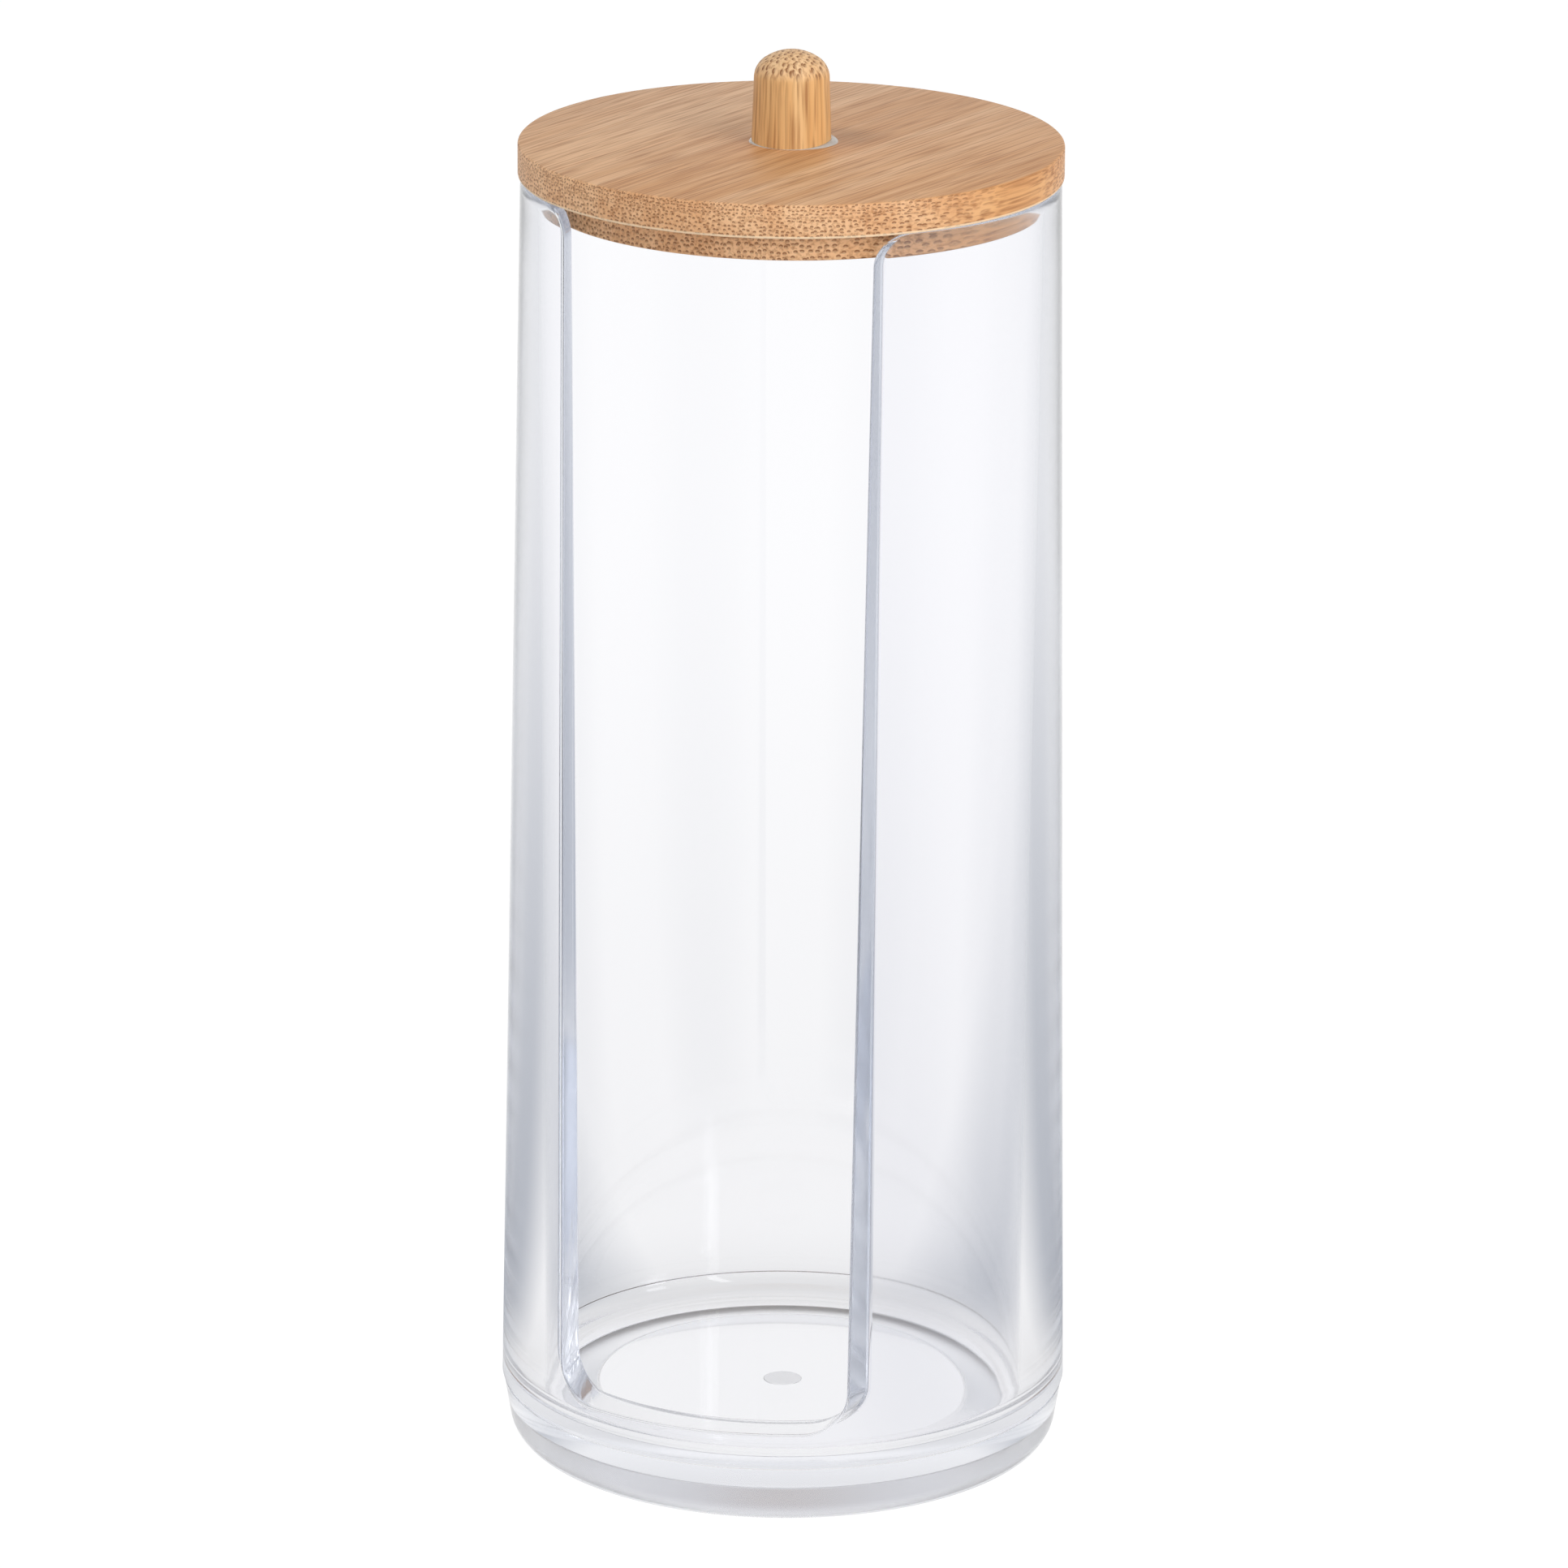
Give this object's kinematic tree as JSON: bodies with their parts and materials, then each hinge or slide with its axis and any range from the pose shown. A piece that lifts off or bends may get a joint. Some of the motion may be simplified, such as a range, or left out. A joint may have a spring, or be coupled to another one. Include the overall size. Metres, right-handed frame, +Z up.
{
  "type": "cotton pad holder",
  "caption": "Tall clear tube with a full-height front slot for a stack of cotton pads, closed by a lift-off round bamboo lid with a small dowel knob.",
  "frame": {"origin": "centre of the foot, on the table", "axes": "+Z up along the tube's axis, -Y out through the slot"},
  "size_m": [0.0746, 0.0746, 0.1875],
  "materials": {
    "clear_polystyrene": "clear, glossy, moulded",
    "lid_bamboo": "sanded bamboo board, bare or thinly oiled",
    "knob_bamboo": "turned bamboo dowel, end grain on top",
    "cured_glue": "whitish, translucent"
  },
  "bodies": {
    "holder": {"holder_body": "clear_polystyrene"},
    "lid": {"lid": "lid_bamboo", "knob": "knob_bamboo", "glue_bead": "cured_glue"}
  },
  "joints": [
    {"name": "lid_lift", "type": "slide", "parent": "holder", "child": "lid", "axis": [0, 0, 1], "range_m": [0, 0.06]}
  ]
}
